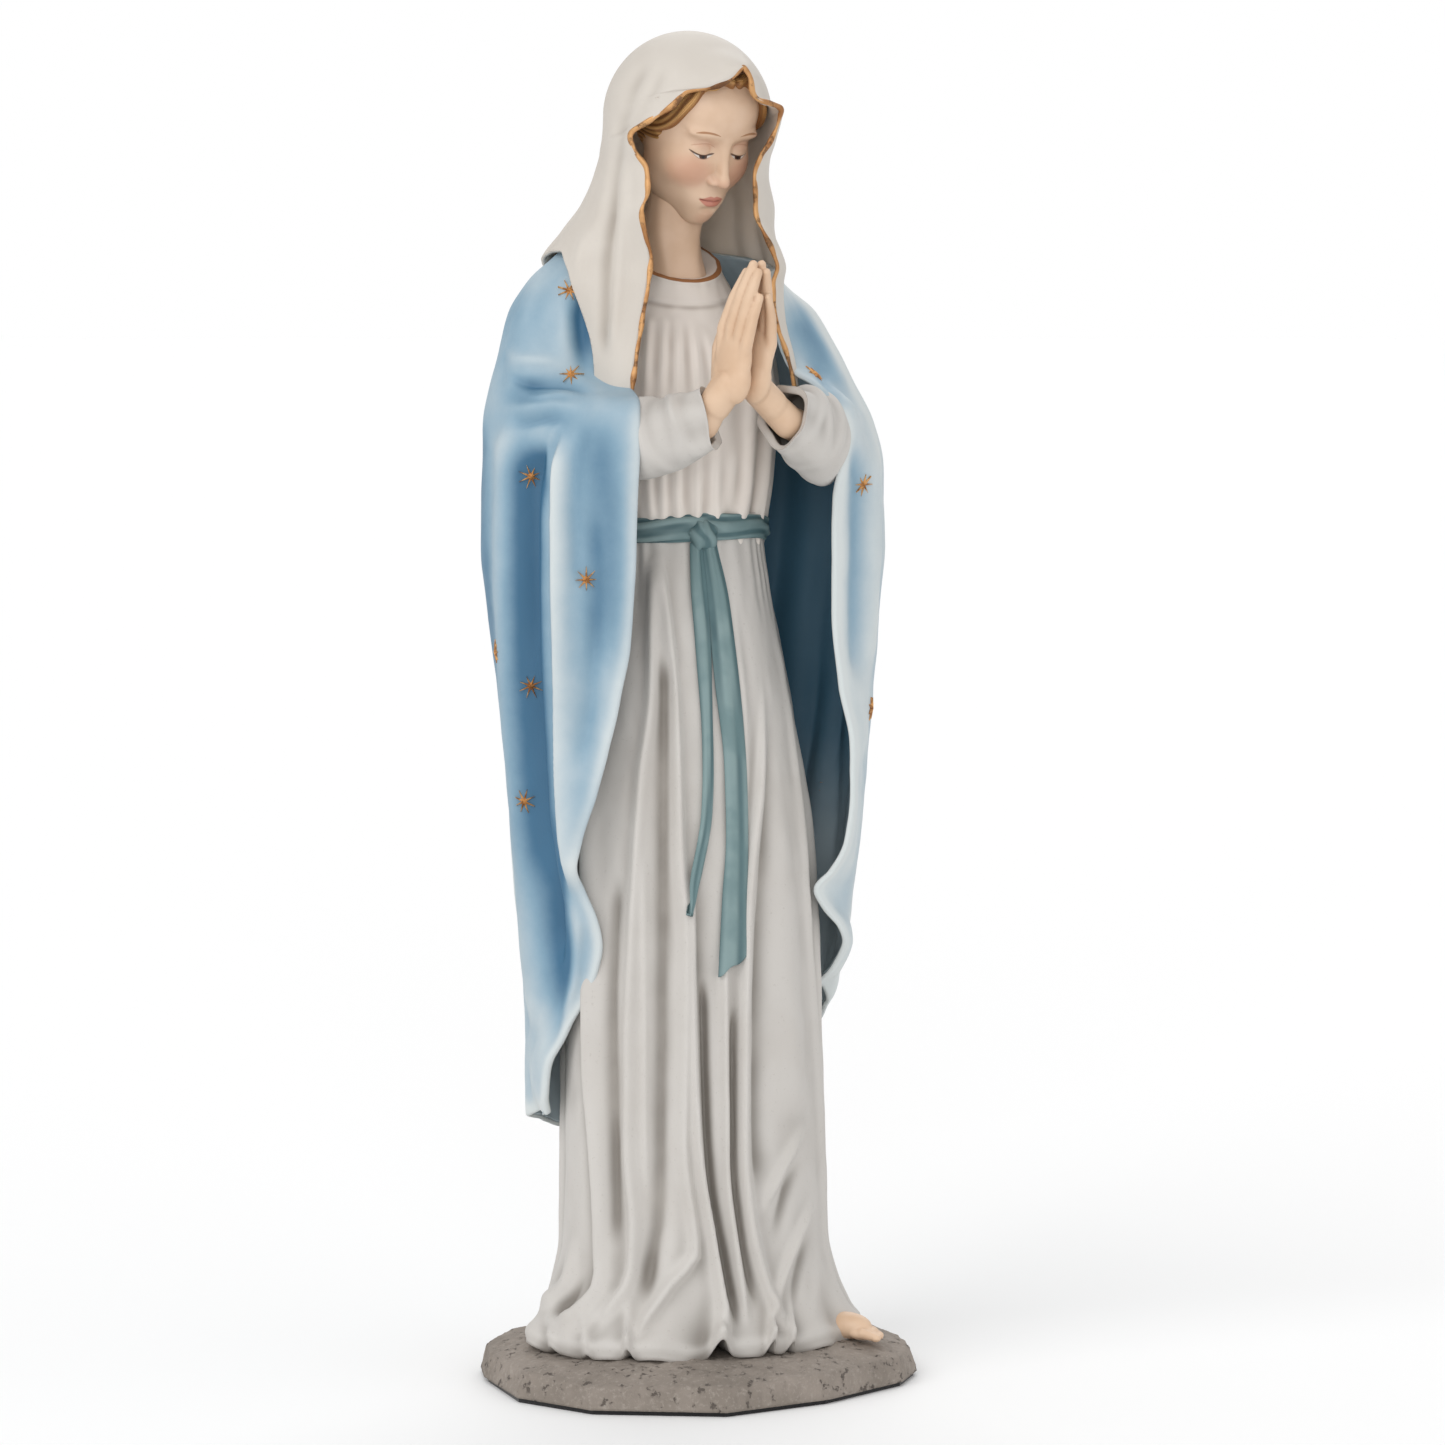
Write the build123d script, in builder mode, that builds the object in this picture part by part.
from build123d import *

import os
from math import hypot

# A standing, praying Madonna statue in painted cast stone, 290 mm tall.
#
# The figure faces -Y, its right hand is towards -X, and +Z is up.  The origin is the middle of the
# underside.  The statue is glued up from separate castings: a rock plinth with a felt pad under it, a
# gown, a mantle, a veil, the head with its hair, two sleeves with their hands, a sash, and one foot.
# Steel pins hold the joints.  All sizes are in millimetres.

# Driving dimensions
STATUE_HEIGHT = 290.0
FELT_THICKNESS = 1.0
FELT_INSET = 1.5
PLINTH_TOP = 9.0
PLINTH_BEVEL = 2.2
WAIST_HEIGHT = 183.0
SASH_WIDTH = 6.6
SASH_THICKNESS = 1.2
CLOTH_WALL = 4.0  # wall of the mantle casting
VEIL_WALL = 2.0
PIN_PLAY = 0.05  # gap round each glued pin

# The plinth's corners, clockwise from the figure's right side
PLINTH_CORNERS = [
    (-46, 12), (-42, 24), (-31, 35.5), (-12, 43.5), (13, 42), (34, 30), (46, 13),
    (48, -5), (43.5, -20), (35.5, -29.5), (12.5, -40), (-12.5, -43.5), (-38, -29.5), (-48, -11),
]  # fmt: skip

# Level sections as (height, middle x, middle y, half width, half depth)
GOWN_SECTIONS = [
    (PLINTH_TOP, 0, 0, 36, 28),
    (16, 0, 1, 32.5, 26.5),
    (28, -0.5, 2.5, 29.5, 24.5),
    (60, -0.5, 3, 28.5, 22.5),
    (112, -0.5, 4.5, 27, 20.5),
    (145, -0.5, 5.5, 23, 17.5),
    (172, -1, 7, 19.8, 14),
    (WAIST_HEIGHT, -1, 8, 19, 13.2),
    (194, -1, 8.5, 20.5, 15),
    (212, -1, 10, 22.5, 16),
    (230, -1.5, 12, 21, 13),
    (240, -1.5, 12.5, 10, 8.5),
]
MANTLE_SECTIONS = [
    (44, 0, 12, 32, 20),
    (90, 0, 10, 38.5, 25),
    (135, 0, 9, 42, 26.5),
    (180, 0, 7.5, 46, 26),
    (204, -0.5, 8, 45.5, 25),
    (222, -1, 11, 38.5, 20),
    (236, -1.5, 12.5, 29, 15.5),
    (245, -1.5, 13, 18, 11),
]
VEIL_SECTIONS = [
    (209, -1.5, 12, 28, 19.5),
    (224, -1.5, 12, 28, 19),
    (238, -1.5, 11.5, 26.5, 18.5),
    (250, -1.5, 9, 21, 17.5),
    (264, -1.5, 3.5, 18.5, 17.5),
    (277, -1.5, 1.5, 16.5, 15.5),
    (286, -1.5, 1, 10.5, 9.5),
    (STATUE_HEIGHT, -1.5, 1, 3, 3),
]
HAND_SECTIONS = [  # for the figure's right hand; the left one has its x turned over
    (203, -10.2, -23.4, 3.6, 4.2),
    (209, -8.6, -25.6, 3.8, 5.2),
    (216, -5.3, -28, 3.6, 6.4),
    (224, -3.3, -30, 2.7, 6.6),
    (232, -2.5, -31.6, 1.9, 5.2),
    (239, -1.8, -33, 1.2, 2.8),
]
ELBOW = {"right": (-36.0, 7.0, 199.0), "left": (35.0, -3.0, 199.0)}
WRIST = {"right": (-9.7, -24.4, 207.0), "left": (9.7, -26.4, 206.0)}
ELBOW_RADIUS, CUFF_RADIUS = 8.6, 6.6

HEAD_MIDDLE = (-0.8, 3.2, 268.6)
HEAD_TURN, HEAD_NOD = 14.0, 25.0  # degrees to the figure's left, and forwards
HEAD_HALF_HEIGHT, HEAD_HALF_WIDTH = 18.0, 12.6
NECK_RADIUS, NECK_FOOT, NECK_TOP = 6.3, (-1.5, 12.0, 234.0), (-0.8, 7.5, 256.0)
HAIR_THICKNESS = 1.1


def loft_through(sections, grow=0.0):
    """A smooth solid through level ellipses, each grown outwards."""
    with BuildPart() as body:
        for height, x, y, half_width, half_depth in sections:
            with BuildSketch(Plane.XY.offset(height)):
                with Locations((x, y)):
                    Ellipse(half_width + grow, half_depth + grow)
        loft(ruled=True)
    return body.part


def pin_between(start, end, radius):
    """A plain round pin from start to end."""
    run = Vector(*end) - Vector(*start)
    with BuildPart() as pin:
        with BuildSketch(Plane(origin=start, z_dir=run)):
            Circle(radius)
        extrude(amount=run.length)
    return pin.part


def write(part, name):
    part.label = name
    export_step(part, f"parts/{name}.step")


def along(start, end, share):
    """The point that lies this share of the way from start to end."""
    return tuple(a + (b - a) * share for a, b in zip(start, end))


os.makedirs("parts", exist_ok=True)

# ---------------------------------------------------------------- pins
BASE_PIN_RADIUS, BASE_PIN_FOOT, BASE_PIN_TOP = 2.5, 4.0, 24.0
BASE_PIN_PLACES = [(-13, 4), (13, 4)]
NECK_PIN_RADIUS = 2.0
NECK_PIN_ENDS = ((-1.3, 11.3, 226.0), (-1.1, 9.7, 247.0))
WRIST_PIN_RADIUS, WRIST_PIN_SHARES = 1.2, (0.72, 1.0)

with BuildPart() as base_pins:
    with Locations(*[(x, y, BASE_PIN_FOOT) for x, y in BASE_PIN_PLACES]):
        Cylinder(
            BASE_PIN_RADIUS,
            BASE_PIN_TOP - BASE_PIN_FOOT,
            align=(Align.CENTER, Align.CENTER, Align.MIN),
        )
with BuildPart() as base_pin_holes:
    with Locations(*[(x, y, BASE_PIN_FOOT - PIN_PLAY) for x, y in BASE_PIN_PLACES]):
        Cylinder(
            BASE_PIN_RADIUS + PIN_PLAY,
            BASE_PIN_TOP - BASE_PIN_FOOT + 2 * PIN_PLAY,
            align=(Align.CENTER, Align.CENTER, Align.MIN),
        )
neck_pin = pin_between(*NECK_PIN_ENDS, NECK_PIN_RADIUS)
neck_pin_hole = pin_between(
    along(*NECK_PIN_ENDS, -0.01), along(*NECK_PIN_ENDS, 1.01), NECK_PIN_RADIUS + PIN_PLAY
)

# ---------------------------------------------------------------- felt pad and plinth
with BuildPart() as felt_pad:
    with BuildSketch():
        with BuildLine():
            Polyline(*PLINTH_CORNERS, close=True)
        make_face()
        offset(amount=-FELT_INSET, kind=Kind.INTERSECTION)
    extrude(amount=FELT_THICKNESS)

with BuildPart() as plinth:
    with BuildSketch(Plane.XY.offset(FELT_THICKNESS)):
        with BuildLine():
            Polyline(*PLINTH_CORNERS, close=True)
        make_face()
    extrude(amount=PLINTH_TOP - FELT_THICKNESS)
    chamfer(plinth.faces().sort_by(Axis.Z)[-1].edges(), PLINTH_BEVEL)
    add(base_pin_holes.part, mode=Mode.SUBTRACT)

# ---------------------------------------------------------------- gown, the main casting
gown_blank = loft_through(GOWN_SECTIONS)
neck_blank = pin_between(NECK_FOOT, NECK_TOP, NECK_RADIUS)
with BuildPart() as gown:
    add(gown_blank)
    add(base_pin_holes.part, mode=Mode.SUBTRACT)
    add(neck_blank, mode=Mode.SUBTRACT)
    add(neck_pin_hole, mode=Mode.SUBTRACT)

# ---------------------------------------------------------------- sash: band, knot and two tails
KNOT_MIDDLE, KNOT_RADIUS = (-3.0, -5.6, WAIST_HEIGHT), 3.4
TAIL_OUTLINES = {  # seen from the front, as (x, z)
    "sash_short_tail": [(-5.8, 180), (-1.9, 180), (-3.6, 140), (-9.5, 117), (-15.5, 101), (-8.0, 140)],
    "sash_long_tail": [(-1.6, 180), (2.2, 180), (6.0, 150), (4.0, 120), (0.5, 92), (-7.5, 88), (-3.2, 140)],
}  # fmt: skip
TAIL_REACH = 40.0

with BuildPart() as sash_knot:
    with BuildSketch(Plane.XZ.offset(-KNOT_MIDDLE[1] - 4)):
        with Locations((KNOT_MIDDLE[0], KNOT_MIDDLE[2])):
            Ellipse(KNOT_RADIUS, KNOT_RADIUS * 1.2)
    extrude(amount=6.6)
    fillet(sash_knot.faces().sort_by(Axis.Y)[0].edges(), 1.6)
    add(gown_blank, mode=Mode.SUBTRACT)

girth = loft_through(GOWN_SECTIONS[5:10], SASH_THICKNESS)
with BuildPart() as sash_band:
    add(girth)
    with Locations((0, 0, WAIST_HEIGHT)):
        Box(120, 120, SASH_WIDTH, mode=Mode.INTERSECT)
    add(gown_blank, mode=Mode.SUBTRACT)
    add(sash_knot.part, mode=Mode.SUBTRACT)

skirt_skin = loft_through(GOWN_SECTIONS[2:9], SASH_THICKNESS)
tails = {}
for tail_name, outline in TAIL_OUTLINES.items():
    with BuildPart() as tail:
        with BuildSketch(Plane.XZ):
            with BuildLine():
                Polyline(*outline, close=True)
            make_face()
        extrude(amount=TAIL_REACH)
        add(skirt_skin, mode=Mode.INTERSECT)
        add(gown_blank, mode=Mode.SUBTRACT)
        add(sash_band.part, mode=Mode.SUBTRACT)
        add(sash_knot.part, mode=Mode.SUBTRACT)
    tails[tail_name] = tail.part

# ---------------------------------------------------------------- hands, their pins and sleeves
hands, sleeves, wrist_pins = {}, {}, []
for side, turn in (("right", 1), ("left", -1)):
    sections = [(z, turn * x, y, a, b) for z, x, y, a, b in HAND_SECTIONS]
    pin_ends = [along(ELBOW[side], WRIST[side], share) for share in WRIST_PIN_SHARES]
    wrist_pin = pin_between(*pin_ends, WRIST_PIN_RADIUS)
    wrist_pin_hole = pin_between(*pin_ends, WRIST_PIN_RADIUS + PIN_PLAY)
    hand_blank = loft_through(sections)
    with BuildPart() as hand:
        add(hand_blank)
        add(wrist_pin_hole, mode=Mode.SUBTRACT)
    forearm = Vector(*WRIST[side]) - Vector(*ELBOW[side])
    with BuildPart() as sleeve:
        with BuildSketch(Plane(origin=ELBOW[side], z_dir=forearm)):
            Circle(ELBOW_RADIUS)
        with BuildSketch(Plane(origin=along(ELBOW[side], WRIST[side], 0.97), z_dir=forearm)):
            Circle(CUFF_RADIUS)
        loft()
        add(hand_blank, mode=Mode.SUBTRACT)
        add(wrist_pin_hole, mode=Mode.SUBTRACT)
        add(gown_blank, mode=Mode.SUBTRACT)
    hands[side], sleeves[side] = hand.part, sleeve.part
    wrist_pins.append(wrist_pin)
with BuildPart() as both_wrist_pins:
    add(wrist_pins)

# ---------------------------------------------------------------- head and hair
head_frame = Plane(HEAD_MIDDLE).rotated((HEAD_NOD, 0, HEAD_TURN))
PROFILE = [  # half outline of the head from the chin to the crown, as (radius, height)
    (0, -HEAD_HALF_HEIGHT),
    (5.2, -16.4),
    (9.6, -9),
    (12.2, 0),
    (HEAD_HALF_WIDTH, 6),
    (9.8, 13.6),
    (0, HEAD_HALF_HEIGHT),
]


def head_shape(grow):
    """The head turned from its half outline, grown outwards."""
    with BuildPart() as shape:
        with BuildSketch(Plane.XZ):
            with BuildLine():
                Spline(
                    *[
                        (r + (grow if r else 0), z + grow * z / HEAD_HALF_HEIGHT)
                        for r, z in PROFILE
                    ]
                )
                Line(
                    (0, HEAD_HALF_HEIGHT + grow),
                    (0, -HEAD_HALF_HEIGHT - grow),
                )
            make_face()
        revolve(axis=Axis.Z)
    return head_frame.location * shape.part


head_blank = head_shape(0.0)
with BuildPart() as head:
    add(head_blank)
    add(neck_blank)
    add(neck_pin_hole, mode=Mode.SUBTRACT)

FACE_WIDTH = 20.0
face_cut = head_frame.location * Location((0, -14, -9.5)) * Box(FACE_WIDTH, 30, 36)
nape_cut = head_frame.location * Location((0, 0, -18)) * Box(60, 60, 20)
with BuildPart() as hair:
    add(head_shape(HAIR_THICKNESS))
    add(head_blank, mode=Mode.SUBTRACT)
    add(neck_blank, mode=Mode.SUBTRACT)
    add(face_cut, mode=Mode.SUBTRACT)
    add(nape_cut, mode=Mode.SUBTRACT)

# ---------------------------------------------------------------- mantle
MANTLE_OPENING = [(-21, -60), (-21, -9), (-15, 2), (21, 6), (28, 2), (31, -6), (31, -60)]
HEM_CUT = [(40, 20), (40, 44), (26, 46), (0, 70), (-12, 92), (-30, 112), (-60, 112), (-60, 20)]
mantle_blank = loft_through(MANTLE_SECTIONS)
mantle_hollow = loft_through(MANTLE_SECTIONS[:-2], -CLOTH_WALL)
with BuildPart() as mantle:
    add(mantle_blank)
    add(mantle_hollow, mode=Mode.SUBTRACT)
    with BuildSketch(Plane.XY.offset(30)):
        with BuildLine():
            Polyline(*MANTLE_OPENING, close=True)
        make_face()
    extrude(amount=230, mode=Mode.SUBTRACT)
    with BuildSketch(Plane.YZ.offset(-80)):
        with BuildLine():
            Polyline(*HEM_CUT, close=True)
        make_face()
    extrude(amount=160, mode=Mode.SUBTRACT)
    for taken in (gown_blank, neck_blank, sleeves["right"], sleeves["left"]):
        add(taken, mode=Mode.SUBTRACT)

# ---------------------------------------------------------------- veil
VEIL_OPENING = [(-14.5, -40), (-14.5, -4), (-7, 4), (7, 4), (10.5, -4), (10.5, -40)]
veil_blank = loft_through(VEIL_SECTIONS)
veil_hollow = loft_through(VEIL_SECTIONS[:-1], -VEIL_WALL)
with BuildPart() as veil:
    add(veil_blank)
    add(veil_hollow, mode=Mode.SUBTRACT)
    with BuildSketch(Plane.XY.offset(190)):
        with BuildLine():
            Polyline(*VEIL_OPENING, close=True)
        make_face()
    extrude(amount=86, mode=Mode.SUBTRACT)
    for taken in (
        gown_blank,
        neck_blank,
        head_shape(HAIR_THICKNESS),
        mantle.part,
        sleeves["right"],
        sleeves["left"],
    ):
        add(taken, mode=Mode.SUBTRACT)

# ---------------------------------------------------------------- left foot
FOOT_HEEL, FOOT_TOE = (22.0, -15.0), (34.5, -25.0)
FOOT_WIDTH, FOOT_HEIGHT = 8.0, 5.0
foot_line = Vector(FOOT_TOE[0] - FOOT_HEEL[0], FOOT_TOE[1] - FOOT_HEEL[1])
foot_middle = ((FOOT_HEEL[0] + FOOT_TOE[0]) / 2, (FOOT_HEEL[1] + FOOT_TOE[1]) / 2, PLINTH_TOP)
with BuildPart() as left_foot:
    with BuildSketch(Plane(origin=foot_middle, x_dir=foot_line, z_dir=(0, 0, 1))):
        SlotOverall(hypot(foot_line.X, foot_line.Y), FOOT_WIDTH)
    extrude(amount=FOOT_HEIGHT)
    fillet(left_foot.faces().sort_by(Axis.Z)[-1].edges(), 2.4)
    add(gown_blank, mode=Mode.SUBTRACT)

# ---------------------------------------------------------------- files
finished = {
    "felt_pad": felt_pad.part,
    "plinth": plinth.part,
    "base_pins": base_pins.part,
    "gown": gown.part,
    "sash_band": sash_band.part,
    "sash_knot": sash_knot.part,
    **tails,
    "right_sleeve": sleeves["right"],
    "left_sleeve": sleeves["left"],
    "right_hand": hands["right"],
    "left_hand": hands["left"],
    "wrist_pins": both_wrist_pins.part,
    "neck_pin": neck_pin,
    "head": head.part,
    "hair": hair.part,
    "mantle": mantle.part,
    "veil": veil.part,
    "left_foot": left_foot.part,
}
for part_name, part in finished.items():
    write(part, part_name)
    print(part_name, len(part.solids()), round(part.volume))
